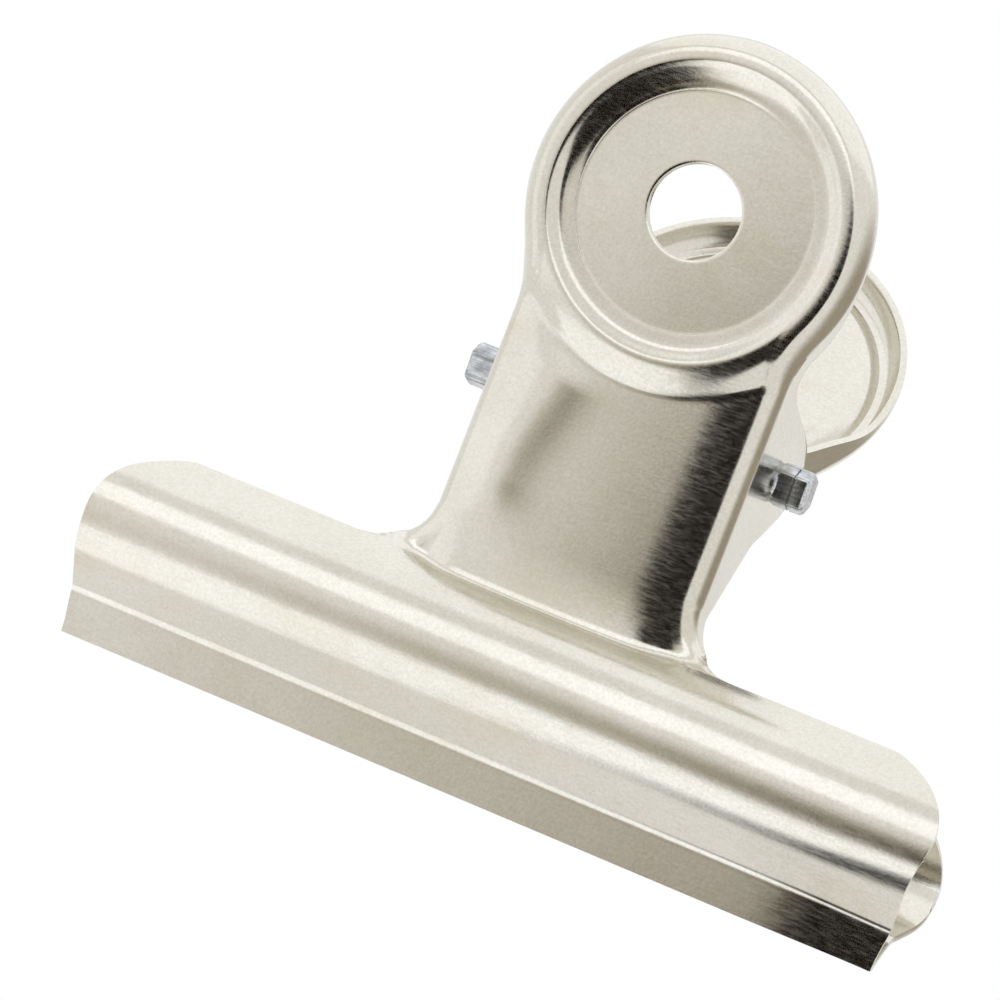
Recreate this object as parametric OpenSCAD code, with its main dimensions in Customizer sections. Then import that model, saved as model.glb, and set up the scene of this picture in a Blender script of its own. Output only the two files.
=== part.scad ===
// A bulldog clip of pressed and nickel-plated steel: two plates, each one stamping with a rolled jaw,
// a flanged stem and a round handle, turn on one pin, and a torsion spring on the pin shuts the jaws.
// The jaws lie along X, the handles point up, and the front plate faces -Y.
// The origin is the middle of the gripping line, at the jaws' lowest edge.

/* [Jaws] */
// Length of the gripping edge
jaw_w = 76; // [60:1:90]
// Thickness of the pressed sheet
sheet = 0.6; // [0.5:0.05:0.7]
// Gap between the closed lips
lip_gap = 0.2; // [0.1:0.05:0.4]
// Height of the flat lip that bites the paper
lip_h = 3.6; // [3:0.1:4]
// Lean of the lip from upright
lip_lean = 18; // [10:1:22]
// Reach of the rolled jaw from the middle of the clip
roll_out = 8.05; // [7.6:0.05:8.6]
// Outer radius of the roll
roll_r = 6.35; // [6:0.05:6.8]
// Height of the roll's middle
roll_z = 11; // [10.8:0.1:11.4]
// Height of the crease where the stem leaves the roll
crease_z = 16.5; // [16:0.1:16.8]
// Radius of the jaw's upper corners
corner_r = 8; // [4:0.5:9]

/* [Handles] */
// Width of the front stem across its flanges
stem_w = 24.4; // [20:0.2:27]
// Lean of the stem and handle from upright
handle_lean = 18.9; // [15:0.5:22]
// Length from the crease to the handle's middle
handle_l = 35.2; // [33:0.2:40]
// Diameter of the round handle
disc_d = 30; // [27:0.5:32]
// Diameter of the handle's flat middle
flat_d = 20.3; // [17:0.1:21]
// Diameter of the hanging hole
hole_d = 8; // [5:0.5:11]
// Height of the pressed ring above the flat
ring_h = 0.85; // [0.6:0.05:1.2]
// Outer radius of the ring's turn into the rim
rim_r = 2.4; // [1.8:0.1:2.6]
// Depth of the turned rim below the flat's face
rim_depth = 2.1; // [1.8:0.1:3]
// Outer radius of the bend between stem and flange
bend_r = 1.3; // [1:0.1:1.6]
// Depth of the stem's flange
flange_depth = 3.6; // [3:0.1:4.4]
// Radius of the fillet between stem and jaw
shoulder_r = 5; // [4:0.25:6]

/* [Hinge] */
// Height of the pin above the gripping line
pin_z = 35.8; // [34.5:0.1:37]
// Diameter of the pin
pin_d = 3.5; // [3:0.1:4]
// Radial clearance of the pin in the ears
pin_clear = 0.06; // [0.03:0.01:0.09]
// Length of each pin end outside the ears
pin_out = 3.5; // [2:0.1:6]
// Angle at which the flats of the pinched pin ends stand, down from level
end_turn = 27; // [0:1:60]
// Gap between the nested ears
ear_gap = 1; // [0.1:0.05:1.2]
// Reach of an ear past the pin
ear_reach = 7.3; // [6.5:0.1:8]
// Height of an ear above the pin
ear_rise = 5.6; // [5:0.1:6.2]
// Radius of the ear's nose
nose_r = 3.8; // [3:0.1:4.4]

/* [Spring] */
// Diameter of the spring wire
wire_d = 1.4; // [1.1:0.05:1.6]
// Full turns of the coil
coil_turns = 6; // [4:1:7]
// Pitch of the coil
coil_pitch = 2.1; // [2.1:0.05:2.4]
// Gap between the coil and the pin
coil_gap = 0.4; // [0.3:0.05:0.6]
// Where a leg presses on the handle, from the crease
leg_reach = 27; // [26:0.5:31]

/* [Hidden] */

// Overrun of cutting shapes past what they cut
over = 1;
// Length of stem that is buried in the roll at the crease
root_l = 0.4;
// How far a corner's circle rises over the jaw's top, so that it meets the edge at an angle
corner_lift = 0.15;
// Straight steps on one curve of the handle's outline, and on the roll of the jaw
curve_steps = 6;
roll_steps = 20;
// Play between a spring leg and the handle that it presses on
leg_play = 0.15;
// Section of a pinched pin end: two flats with a corner at each side, in shares of the pin's diameter
end_section_shares = [[0.37, 0.42], [0.56, 0], [0.37, -0.42], [-0.37, -0.42], [-0.56, 0], [-0.37, 0.42]];
// Direction from the middle of an ear's nose to where its lower edge begins
nose_angle = 225;
// Depth and width of the shear line round the right pin end, and its place along that end
score_depth = 0.12;
score_w = 0.3;
score_place_share = 0.45;
// Gap between the front ears and the pinched pin ends, and chamfer on each end
end_gap = 0.15;
end_chamfer = 0.3;

half_stem = stem_w / 2;
disc_r = disc_d / 2;
pin_r = pin_d / 2;
wire_r = wire_d / 2;
coil_r = pin_r + coil_gap + wire_r;
roll_c = [roll_out - roll_r, roll_z];

// Side view points are [depth, height], with depth measured from the middle of the clip towards the
// plate's own side. lip_foot and lip_top lie on the outer face of the lip.
lip_foot = [lip_gap / 2 + sheet / cos(lip_lean), 0];
lip_top = lip_foot + lip_h * [tan(lip_lean), 1];
to_lip = lip_top - roll_c;
lip_angle = atan2(to_lip[1], to_lip[0]);
roll_start = lip_angle + acos(roll_r / norm(to_lip));
roll_end = asin((crease_z - roll_z) / roll_r);
crease = roll_c + roll_r * [cos(roll_end), sin(roll_end)];

function along(angle, length) = length * [cos(angle), sin(angle)];

// A point of the side view by its place up the stem from the crease and its depth behind the outer face
function on_stem(up, behind) = crease + up * [sin(handle_lean), cos(handle_lean)]
    + behind * [-cos(handle_lean), sin(handle_lean)];

// Unit normal on the left of a line from a to b, which is the inner side of the jaw's outer face
function left_normal(a, b) = [a[1] - b[1], b[0] - a[0]] / norm(b - a);

// Puts a side view, drawn in depth and height, across a width that is centred on the clip
module across(width) {
    rotate([90, 0, 90]) translate([0, 0, -width / 2]) linear_extrude(width) mirror([1, 0]) children();
}

// Puts a shape into the stem's own frame: X across, Z up the stem, Y from the outer face inward
module stem_frame() {
    translate([0, -crease[0], crease[1]]) rotate([handle_lean, 0, 0]) children();
}

// Side view of the jaw in one thickness of sheet: lip, knee, facet and roll, out and back again
module jaw_profile() {
    roll_foot = roll_c + along(roll_start, roll_r);
    lip_normal = left_normal(lip_foot, lip_top);
    facet_normal = left_normal(lip_top, roll_foot);
    knee = lip_top + sheet * (lip_normal + facet_normal) / (1 + lip_normal * facet_normal);
    angles = [for (i = [0:roll_steps]) roll_start + (roll_end - roll_start) * i / roll_steps];
    polygon(concat([lip_foot, lip_top], [for (a = angles) roll_c + along(a, roll_r)],
                   [for (i = [roll_steps:-1:0]) roll_c + along(angles[i], roll_r - sheet)],
                   [knee, [lip_gap / 2, 0]]));
}

// Jaw with its upper corners rounded
module jaw() {
    difference() {
        across(jaw_w) jaw_profile();
        for (side = [-1, 1]) scale([side, 1, 1])
            rotate([90, 0, 0]) translate([jaw_w / 2 - corner_r, crease_z + corner_lift - corner_r,
                                          -over])
                linear_extrude(roll_out + 2 * over) difference() {
                    square(corner_r + over);
                    circle(r = corner_r);
                }
    }
}

// A square-cornered box section with two rounded corners towards -Y
module rounded_section(half_w, depth, r) {
    translate([-half_w, r]) square([2 * half_w, depth]);
    translate([r - half_w, 0]) square([2 * (half_w - r), depth]);
    for (side = [-1, 1]) translate([side * (half_w - r), r]) circle(r = r);
}

// Stem as a bent channel, before its flanges are cut to shape
module channel(half_w) {
    depth = 2 * crease[0] + 2 * (handle_l + disc_r) * sin(handle_lean);
    translate([0, 0, -root_l]) linear_extrude(handle_l + root_l) difference() {
        rounded_section(half_w, depth, bend_r);
        translate([0, sheet]) rounded_section(half_w - sheet, depth, bend_r - sheet);
    }
}

// Side view of what is left of the channel: the web, the flanges and the ears round the pin
module flange_view() {
    polygon([on_stem(-root_l, -over), on_stem(handle_l, -over), on_stem(handle_l, flange_depth),
             on_stem(shoulder_r, flange_depth), on_stem(shoulder_r, sheet), on_stem(-root_l, sheet)]);
    nose = [nose_r - ear_reach, pin_z + ear_rise - nose_r];
    nose_low = nose + along(nose_angle, nose_r);
    polygon([nose, nose + [0, nose_r], on_stem(ear_top_up(), 0), on_stem(shoulder_r + flange_depth, 0),
             on_stem(shoulder_r + flange_depth, flange_depth), nose_low]);
    translate(nose) circle(r = nose_r);
}

// Where the level top edge of an ear meets the stem's outer face
function ear_top_up() = (pin_z + ear_rise - crease[1]) / cos(handle_lean);

// Curved web and flange that carry the stem's edge out into the top of the jaw
module shoulder(half_w) {
    translate([half_w, 0, 0]) {
        rotate([-90, 0, 0]) mirror([0, 1, 0]) {
            linear_extrude(sheet) difference() {
                translate([-over, -root_l]) square([shoulder_r + over, shoulder_r + root_l]);
                translate([shoulder_r, shoulder_r]) circle(r = shoulder_r);
            }
            intersection() {
                linear_extrude(flange_depth) difference() {
                    translate([shoulder_r, shoulder_r]) circle(r = shoulder_r + sheet);
                    translate([shoulder_r, shoulder_r]) circle(r = shoulder_r);
                    translate([shoulder_r, 0]) square([2 * shoulder_r, 3 * shoulder_r]);
                    translate([-over, shoulder_r]) square([3 * shoulder_r, 2 * shoulder_r]);
                }
                rotate([90, 0, 0]) translate([0, 0, -2 * shoulder_r])
                    linear_extrude(3 * shoulder_r)
                        polygon([[-over, 0], [shoulder_r, 0], [shoulder_r, sheet], [0, flange_depth],
                                 [-over, flange_depth]]);
            }
        }
    }
}

// Outer face of the round handle as [radius, height over the flat], from the hole to the rim's edge
rise_w = disc_r - rim_r - flat_d / 2;
disc_outer = concat(
    [[hole_d / 2, 0]],
    [for (i = [0:curve_steps]) let (s = i / curve_steps)
        [flat_d / 2 + rise_w * s, ring_h * (1 - cos(180 * s)) / 2]],
    [for (i = [1:curve_steps]) let (a = 90 - 90 * i / curve_steps)
        [disc_r - rim_r, ring_h - rim_r] + along(a, rim_r)],
    [[disc_r, -rim_depth]]);

// The same line on the inner face, from the rim's edge back to the hole
disc_inner = concat(
    [[disc_r - sheet, -rim_depth]],
    [for (i = [0:curve_steps]) let (a = 90 * i / curve_steps)
        [disc_r - rim_r, ring_h - rim_r] + along(a, rim_r - sheet)],
    [for (i = [1:curve_steps]) let (s = 1 - i / curve_steps)
        [flat_d / 2 + rise_w * s, ring_h * (1 - cos(180 * s)) / 2 - sheet]],
    [[hole_d / 2, -sheet]]);

// Round handle: a dished disc with a turned rim, open at the neck where the stem runs in
module disc(half_w) {
    neck = half_w - sheet;
    difference() {
        translate([0, 0, handle_l]) rotate([90, 0, 0]) rotate_extrude()
            polygon(concat(disc_outer, disc_inner));
        translate([-neck, sheet, 0]) cube([2 * neck, rim_depth + over, handle_l - flat_d / 2]);
    }
}

// One stamping: jaw, shoulders, stem, ears and round handle
module plate(half_w) {
    difference() {
        union() {
            jaw();
            difference() {
                intersection() {
                    stem_frame() channel(half_w);
                    across(2 * half_w + over) flange_view();
                }
                stem_frame() translate([0, 0, handle_l]) rotate([90, 0, 0])
                    cylinder(r = disc_r - sheet, h = 4 * disc_r, center = true);
            }
            stem_frame() {
                disc(half_w);
                for (side = [-1, 1]) scale([side, 1, 1]) shoulder(half_w);
            }
        }
        translate([0, 0, pin_z]) rotate([0, 90, 0])
            cylinder(r = pin_r + pin_clear, h = stem_w + over, center = true);
    }
}

// Front stamping, whose ears lie outside
module front_plate() {
    color("#cfc9ba") plate(half_stem);
}

// Back stamping, whose stem is narrower so that its ears nest inside the front ones
module back_plate() {
    color("#c6c0b1") mirror([0, 1, 0]) plate(half_stem - sheet - ear_gap);
}

// Hinge pin: round between the ears, with pinched ends that hold it in and a shear line round one
module hinge_pin() {
    shank = half_stem + end_gap;
    end_l = pin_out - end_gap;
    color("#a3a5a8") translate([0, 0, pin_z]) rotate([0, 90, 0]) difference() {
        union() {
            cylinder(r = pin_r, h = 2 * shank, center = true);
            for (side = [0, 1]) mirror([0, 0, side]) translate([0, 0, shank]) {
                linear_extrude(end_l - end_chamfer) end_section(0);
                translate([0, 0, end_l - end_chamfer])
                    linear_extrude(end_chamfer, scale = 1 - end_chamfer / pin_r) end_section(0);
            }
        }
        translate([0, 0, shank + pin_out * score_place_share]) difference() {
            cylinder(r = pin_d, h = score_w);
            translate([0, 0, -over]) linear_extrude(score_w + 2 * over) end_section(score_depth);
        }
    }
}

// Section of a pin end, less a depth all round
module end_section(less) {
    rotate([0, 0, end_turn]) polygon((pin_d - 2 * less) * end_section_shares);
}

// The spring's centre line, in [X, Y, Z from the pin]: a front leg, the coil and a back leg.
// A leg is a tangent of the coil that ends on the handle's inner face.
leg_tip = on_stem(leg_reach, sheet + wire_r + leg_play) - [0, pin_z];
leg_swing = asin(coil_r / norm(leg_tip));
leg_angle = atan2(leg_tip[1], leg_tip[0]) + leg_swing;
coil_start = 180 - leg_angle + 90;
coil_end = leg_angle - 90 + 360 * (coil_turns + 1);
coil_half = coil_pitch * (coil_end - coil_start) / 720;
turn_rings = 8;
coil_rings = ceil((coil_end - coil_start) * turn_rings / 360);
leg_rings = 2;
leg_l = sqrt(norm(leg_tip) ^ 2 - coil_r ^ 2);

function coil_point(s) = let (a = coil_start + s * (coil_end - coil_start))
    [coil_half * (2 * s - 1), coil_r * cos(a), coil_r * sin(a)];

spring_path = concat(
    [for (i = [0:leg_rings - 1]) let (l = leg_l * (1 - i / leg_rings))
        coil_point(0) + l * [0, -cos(leg_angle), sin(leg_angle)]],
    [for (i = [0:coil_rings]) coil_point(i / coil_rings)],
    [for (i = [1:leg_rings]) let (l = leg_l * i / leg_rings)
        coil_point(1) + l * [0, cos(leg_angle), sin(leg_angle)]]);

// Six-sided tube along a path: each ring stands square to the path, with one side towards X
wire_sides = 6;
function unit(v) = v / norm(v);
function heading(path, i) = unit(path[min(i + 1, len(path) - 1)] - path[max(i - 1, 0)]);
function ring(path, i) = let (t = heading(path, i), side = unit([1, 0, 0] - t * t[0]), up = cross(t, side))
    [for (k = [0:wire_sides - 1]) path[i] + wire_r * (cos(360 * k / wire_sides) * side
                                                      + sin(360 * k / wire_sides) * up)];

module tube(path) {
    last = len(path) - 1;
    points = [for (i = [0:last]) each ring(path, i)];
    walls = [for (i = [0:last - 1], k = [0:wire_sides - 1]) let (
            a = i * wire_sides + k, b = i * wire_sides + (k + 1) % wire_sides)
        each [[a, a + wire_sides, b], [b, a + wire_sides, b + wire_sides]]];
    caps = [for (k = [1:wire_sides - 2]) each [[0, k, k + 1],
        [last * wire_sides, last * wire_sides + k + 1, last * wire_sides + k]]];
    polyhedron(points, concat(walls, caps));
}

// Least gap from one turn of the wire to another, on the centre line's points. Points on the same
// stretch lie less than three quarters of a turn apart.
self_gap = min([for (i = [0:len(spring_path) - 1], j = [0:len(spring_path) - 1])
    if (j - i >= turn_rings * 3 / 4) norm(spring_path[i] - spring_path[j])]) - wire_d;

// Torsion spring: one unbroken wire, coiled round the pin between the ears
module torsion_spring() {
    echo(least_gap_of_the_spring_to_itself = self_gap);
    color("#8f9092") translate([0, 0, pin_z]) tube(spring_path);
}

front_plate();
back_plate();
hinge_pin();
torsion_spring();
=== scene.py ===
from math import acos, asin, atan2, cos, exp, hypot, pi, radians, sin, sqrt, tan

import bmesh
import bpy
import numpy
from mathutils import Matrix, Vector


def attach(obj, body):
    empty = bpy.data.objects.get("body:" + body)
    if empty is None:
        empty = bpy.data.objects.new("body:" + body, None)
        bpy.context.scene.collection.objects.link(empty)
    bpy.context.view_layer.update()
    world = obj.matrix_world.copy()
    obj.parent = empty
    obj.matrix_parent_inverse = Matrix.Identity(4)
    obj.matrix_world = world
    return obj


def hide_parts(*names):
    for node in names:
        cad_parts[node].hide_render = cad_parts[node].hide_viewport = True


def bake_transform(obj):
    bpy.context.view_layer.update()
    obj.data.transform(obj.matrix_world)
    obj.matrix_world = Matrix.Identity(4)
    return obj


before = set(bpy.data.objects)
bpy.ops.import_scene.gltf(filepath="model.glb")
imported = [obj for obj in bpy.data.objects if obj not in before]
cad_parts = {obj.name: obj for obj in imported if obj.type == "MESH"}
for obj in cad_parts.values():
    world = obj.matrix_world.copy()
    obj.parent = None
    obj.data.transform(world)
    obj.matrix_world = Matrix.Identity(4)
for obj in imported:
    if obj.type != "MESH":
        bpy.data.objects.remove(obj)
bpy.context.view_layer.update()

scene = bpy.context.scene

# Camera. The photograph looks up at the front plate from a little below the jaws, turned to the right and
# rolled. The lens is given in pixels of the photograph's width, and the sensor in millimetres.
MM = 0.001
azimuth, elevation, roll = radians(16.612), radians(-15.383), radians(26.548)
distance, aim = 459.805 * MM, Vector((-8.77, 0, 25.33)) * MM
lens_px, photo_px, sensor = 5452.2, 1000, 36
forward = -Vector((sin(azimuth) * cos(elevation), -cos(azimuth) * cos(elevation), sin(elevation)))
right = Vector((cos(azimuth), sin(azimuth), 0))
up = right.cross(forward)
image_right = cos(roll) * right + sin(roll) * up
image_up = cos(roll) * up - sin(roll) * right
eye = aim - distance * forward
camera = bpy.data.objects.new("camera", bpy.data.cameras.new("camera"))
camera.data.sensor_width = sensor
camera.data.lens = lens_px / photo_px * sensor
camera.data.clip_start = 0.01
camera.matrix_world = Matrix([[image_right[i], image_up[i], -forward[i], eye[i]] for i in range(3)]
                             + [[0, 0, 0, 1]])
scene.collection.objects.link(camera)
scene.camera = camera
scene.view_settings.view_transform = "Standard"


# Studio. A white tent with four soft lamps. Two black cards and two grey ones stand inside it, out of
# focus, and only show as the dark bands that bright metal has in such a tent.
def add_node(tree, kind, settings=None, links=None):
    """A node with its settings and links. A whole number stands for the socket at that place."""
    node = tree.nodes.new(kind)
    for name, value in (settings or {}).items():
        if isinstance(name, int) or name in node.inputs:
            node.inputs[name].default_value = value
        else:
            setattr(node, name, value)
    for name, source in (links or {}).items():
        tree.links.new(source, node.inputs[name])
    return node


def srgb(code):
    """The linear colour of a hex value."""
    parts = [int(code[i:i + 2], 16) / 255 for i in (1, 3, 5)]
    return [c / 12.92 if c <= 0.04045 else ((c + 0.055) / 1.055) ** 2.4 for c in parts] + [1]


def direction(longitude, latitude):
    """Unit vector from the clip. Longitude 0 is in front of it."""
    lon, lat = radians(longitude), radians(latitude)
    return Vector((sin(lon) * cos(lat), -cos(lon) * cos(lat), sin(lat)))


def look_from(obj, place, target):
    obj.location = place
    obj.rotation_euler = (target - place).to_track_quat("-Z", "Y").to_euler()


tent = bpy.data.worlds.new("white_tent")
scene.world = tent
tent.use_nodes = True
tree = tent.node_tree
tree.nodes.clear()
rays = add_node(tree, "ShaderNodeLightPath")
seen = add_node(tree, "ShaderNodeMath", {"operation": "MAXIMUM"},
                {0: rays.outputs["Is Camera Ray"], 1: rays.outputs["Is Glossy Ray"]})
seen = add_node(tree, "ShaderNodeMath", {"operation": "MAXIMUM"},
                {0: seen.outputs[0], 1: rays.outputs["Is Transmission Ray"]})
soft = add_node(tree, "ShaderNodeBackground", {"Color": (1, 1, 1, 1), "Strength": 0.85})
white = add_node(tree, "ShaderNodeBackground", {"Color": (1, 1, 1, 1), "Strength": 1.0})
both = add_node(tree, "ShaderNodeMixShader", {}, {0: seen.outputs[0], 1: soft.outputs[0], 2: white.outputs[0]})
add_node(tree, "ShaderNodeOutputWorld", {}, {"Surface": both.outputs[0]})

# Lamps: [name, longitude, latitude, distance, width, height, watts]. Their light is slightly cool.
middle = Vector((0, 0, 30)) * MM
for name, lon, lat, reach, size_x, size_y, watts in (
        ("front_softbox", -4, 13, 0.9, 0.95, 0.4, 0.68),
        ("ceiling_softbox", 0, 88, 0.9, 1.7, 1.5, 2.5),
        ("left_softbox", -62, -5, 0.9, 0.8, 1.1, 0.55),
        ("under_softbox", -40, -62, 0.9, 0.6, 0.6, 0.5)):
    lamp = bpy.data.lights.new(name, "AREA")
    lamp.shape, lamp.size, lamp.size_y, lamp.energy = "RECTANGLE", size_x, size_y, watts
    lamp.color = (0.84, 0.89, 1.0)
    holder = bpy.data.objects.new(name, lamp)
    scene.collection.objects.link(holder)
    look_from(holder, middle + reach * direction(lon, lat), middle)

# Cards: [name, longitude, latitude, distance, half width and half height in degrees as seen from the clip,
# what they let through of the white behind them, share of the card over which its edge is out of focus]
for name, lon, lat, reach, wide, high, tint, fade in (
        ("black_card", 16, -31, 0.60, 24.5, 31, (0.016, 0.013, 0.010, 1), 0.25),
        ("low_card", 20, -84, 0.60, 17, 17, (0.03, 0.03, 0.03, 1), 0.5),
        ("grey_card", -5, -31, 0.62, 22, 25, (0.45, 0.40, 0.31, 1), 0.9),
        ("side_card", 125, 0, 0.60, 44, 40, (0.42, 0.38, 0.31, 1), 0.7)):
    half_w, half_h = reach * tan(radians(wide)), reach * tan(radians(high))
    mesh = bpy.data.meshes.new(name)
    mesh.from_pydata([(-half_w, -half_h, 0), (half_w, -half_h, 0), (half_w, half_h, 0), (-half_w, half_h, 0)],
                     [], [(0, 1, 2, 3)])
    stand = bpy.data.objects.new(name, mesh)
    scene.collection.objects.link(stand)
    look_from(stand, middle + reach * direction(lon, lat), middle)
    felt = bpy.data.materials.new(name + "_felt")
    felt.use_nodes = True
    tree = felt.node_tree
    tree.nodes.clear()
    place = add_node(tree, "ShaderNodeTexCoord")
    squeezed = add_node(tree, "ShaderNodeMapping", {"Scale": (1 / half_w, 1 / half_h, 1)},
                        {"Vector": place.outputs["Object"]})
    off = add_node(tree, "ShaderNodeVectorMath", {"operation": "LENGTH"}, {0: squeezed.outputs[0]})
    edge = add_node(tree, "ShaderNodeMapRange", {"interpolation_type": "SMOOTHSTEP", "From Min": 1 - fade,
                                                 "From Max": 1, "To Min": 1, "To Max": 0},
                    {"Value": off.outputs["Value"]})
    clear = add_node(tree, "ShaderNodeBsdfTransparent")
    dark = add_node(tree, "ShaderNodeBsdfTransparent", {"Color": tint})
    mix = add_node(tree, "ShaderNodeMixShader", {}, {0: edge.outputs[0], 1: clear.outputs[0], 2: dark.outputs[0]})
    add_node(tree, "ShaderNodeOutputMaterial", {}, {"Surface": mix.outputs[0]})
    mesh.materials.append(felt)
    stand.visible_camera = stand.visible_diffuse = stand.visible_shadow = False

# Table. A sheet of pale matt paper under the jaws. It is only drawn from above, because the photograph
# looks up from under its level.
table_half = 1.5
mesh = bpy.data.meshes.new("table")
mesh.from_pydata([(-table_half, -table_half, 0), (table_half, -table_half, 0), (table_half, table_half, 0),
                  (-table_half, table_half, 0)], [], [(0, 1, 2, 3)])
table = bpy.data.objects.new("table", mesh)
scene.collection.objects.link(table)
paper = bpy.data.materials.new("white_paper")
paper.use_nodes = True
tree = paper.node_tree
tree.nodes.clear()
face = add_node(tree, "ShaderNodeNewGeometry")
clear = add_node(tree, "ShaderNodeBsdfTransparent")
matt = add_node(tree, "ShaderNodeBsdfDiffuse", {"Color": srgb("#f7f6f2")})
mix = add_node(tree, "ShaderNodeMixShader", {},
               {0: face.outputs["Backfacing"], 1: matt.outputs[0], 2: clear.outputs[0]})
add_node(tree, "ShaderNodeOutputMaterial", {}, {"Surface": mix.outputs[0]})
mesh.materials.append(paper)
table.visible_glossy = table.visible_shadow = table.visible_diffuse = False

# Front and back plates. Each is one stamping from 0.6 mm mild steel strip: the jaw is rolled, the stem and
# ears are folded, the handle is dished, its rim turned and its hole punched. It is nickel plated last.
# Side view sizes are [depth from the middle of the clip, height].
sheet, jaw_half = 0.6, 38
lip_foot, lip_top, fold_r = Vector((0.7309, 0)), Vector((1.9006, 3.6)), 1.2
back_lip_trim = 0.125
roll_middle, roll_r, foot_angle = Vector((1.7, 11)), 6.35, radians(-57.5)
crease = Vector((4.8742, 16.5))
top_angle = asin((crease.y - roll_middle.y) / roll_r)
corner_r, corner_rise = 7.3, 0.15

# The stem leans out from the crease. The back one is narrower, so that its ears fit between the front ones.
lean = radians(18.9)
stem_up, stem_out = Vector((sin(lean), cos(lean))), Vector((cos(lean), -sin(lean)))
front_half, back_half = 12.2, 10.6
bend_r, shoulder_r, fillet_r = 1.7, 5, 8

# Its face is crowned, more so near its sides, with a shallow ridge at its left and a sweep at its foot.
crown, side_from, side_crown = 0.0038, 6.5, 0.016
ridge_h, ridge_w = 0.33, 2.8
foot_rise, foot_up = 0.4, 5
panel_top_r = 18.5

# The handle's middle lies this far up the stem. Its ring slopes less steeply towards the askew side.
handle_up = 35.2
hole_r, crest_r, disc_r = 4, 12.6, 15
rim_depth, dome, askew = 2.1, 0.2, radians(120)

# Outer face of the handle over its flat middle: [radius, height]. The inner face has no pressed step, and
# the neck is the ledge that joins the ring to the stem.
dish = [(hole_r, -0.08), (4.12, -0.02), (4.3, 0), (10.08, 0), (10.2, 0.16), (11.2, 0.19), (11.5, 0.25), (11.8, 0.40),
        (12.1, 0.60), (12.35, 0.76), (crest_r, 0.85)]
dish_wide = [(hole_r, -0.08), (4.12, -0.02), (4.3, 0), (10.05, 0), (10.2, 0.07), (10.3, 0.12), (10.6, 0.155),
             (10.9, 0.22), (11.3, 0.35), (11.7, 0.49), (12.0, 0.60), (12.3, 0.74), (crest_r, 0.85)]
dish_inner = [(hole_r, 0), (9.4, 0), (10.4, 0.12), (11.2, 0.19), (11.5, 0.25), (11.8, 0.40), (12.1, 0.60),
              (12.35, 0.76), (crest_r, 0.85)]
neck = [(crest_r, 0.85), (12.9, 0.83), (13.15, 0.77), (13.7, 0.585), (14.2, 0.415), (14.7, 0.245), (15.15, 0.092),
        (15.4, 0.025), (15.7, 0.0), (20, 0)]
# Section of the handle's rim: [distance out from the crest, slope in degrees]
rim_turn = [(0, 0), (0.3, 3), (0.6, 6), (0.85, 12), (1.0, 22), (1.12, 32), (1.25, 40), (1.45, 47), (1.7, 53),
            (1.95, 60), (2.15, 67), (2.3, 74), (2.4, 80)]
# Free edge of flange, ear and rim: [place up the stem, depth behind the outer face]
free_edge = [(5, 4.86), (6.88, 5.20), (8.69, 6.15), (10.17, 8.90), (13.84, 16.4), (14.4, 17.25), (15, 17.82),
             (16, 18.35), (17.25, 18.56), (18.5, 18.35), (19.5, 17.82), (20.3, 17.03), (20.8, 16.15), (21.2, 14.8),
             (22, 11.9), (22.8, 8.9), (23.3, 6.9), (23.8, 5.75), (24.8, 4.9), (26.8, 4.40)]


def curve_through(points):
    """A smooth line through points with rising first value, which never swings past them."""
    xs, ys = [p[0] for p in points], [p[1] for p in points]
    step = [(ys[i + 1] - ys[i]) / (xs[i + 1] - xs[i]) for i in range(len(xs) - 1)]
    slope = [0] + [0 if a * b <= 0 else 2 * a * b / (a + b) for a, b in zip(step, step[1:])] + [0]

    def at(x):
        if x <= xs[0]:
            return ys[0]
        if x >= xs[-1]:
            return ys[-1]
        i = next(k for k in range(len(xs) - 1) if x <= xs[k + 1])
        w = xs[i + 1] - xs[i]
        t = (x - xs[i]) / w
        return (ys[i] * (1 + 2 * t) * (1 - t) ** 2 + slope[i] * w * t * (1 - t) ** 2
                + ys[i + 1] * t * t * (3 - 2 * t) + slope[i + 1] * w * t * t * (t - 1))
    return at


dish_at, dish_wide_at, dish_inner_at, neck_at, free_edge_at = map(
    curve_through, (dish, dish_wide, dish_inner, neck, free_edge))


def smooth(t):
    """A soft ramp from 0 to 1."""
    t = min(1, max(0, t))
    return t * t * (3 - 2 * t)


def spread(a, b, count):
    """count even steps from a to b."""
    return [a + (b - a) * i / count for i in range(count + 1)]


def in_stem(x, up, out):
    """A point [x, depth, height] from its place across and up the stem and its height over the flat face."""
    side = crease + up * stem_up + out * stem_out
    return Vector((x, side.x, side.y))


def sag(x):
    """How far the stem's face lies under its flat: lightly crowned, and more towards its sides."""
    return crown * x * x + side_crown * max(0, abs(x) - side_from) ** 2


def face_height(x, up, inner):
    """Height of the outer face over the stem's flat: dished handle, neck, and crowned panel with its ridge."""
    r = hypot(x, up - handle_up)
    if r <= crest_r:
        if inner:
            return dish_inner_at(r)
        wide = smooth((cos(atan2(up - handle_up, x) - askew) - 0.3) / 0.6)
        return dish_at(r) + (dish_wide_at(r) - dish_at(r)) * wide + dome * max(0, 1 - (r / 10) ** 2)
    ridge_x = 2.2 * smooth((up - 9) / 11) - 8.1
    ridge = ridge_h * exp(-((x - ridge_x) / ridge_w) ** 2)
    ridge *= smooth((up - shoulder_r) / 4) * smooth((front_half - bend_r - abs(x)) / 1.5) * smooth((r - 15) / 3)
    return neck_at(r) - sag(x) * smooth((r - 13.6) / 2.4) + ridge


# How far the rim drops below the crest at each of its stations
rim_drop = [0]
for (a, low), (b, high) in zip(rim_turn, rim_turn[1:]):
    rim_drop.append(rim_drop[-1] + (b - a) * tan(radians((low + high) / 2)))
rim_w = disc_r - crest_r


def mirror_columns(half):
    """Shares across the stem, from those of its right half."""
    return [-c for c in reversed(half[1:])] + half


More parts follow.
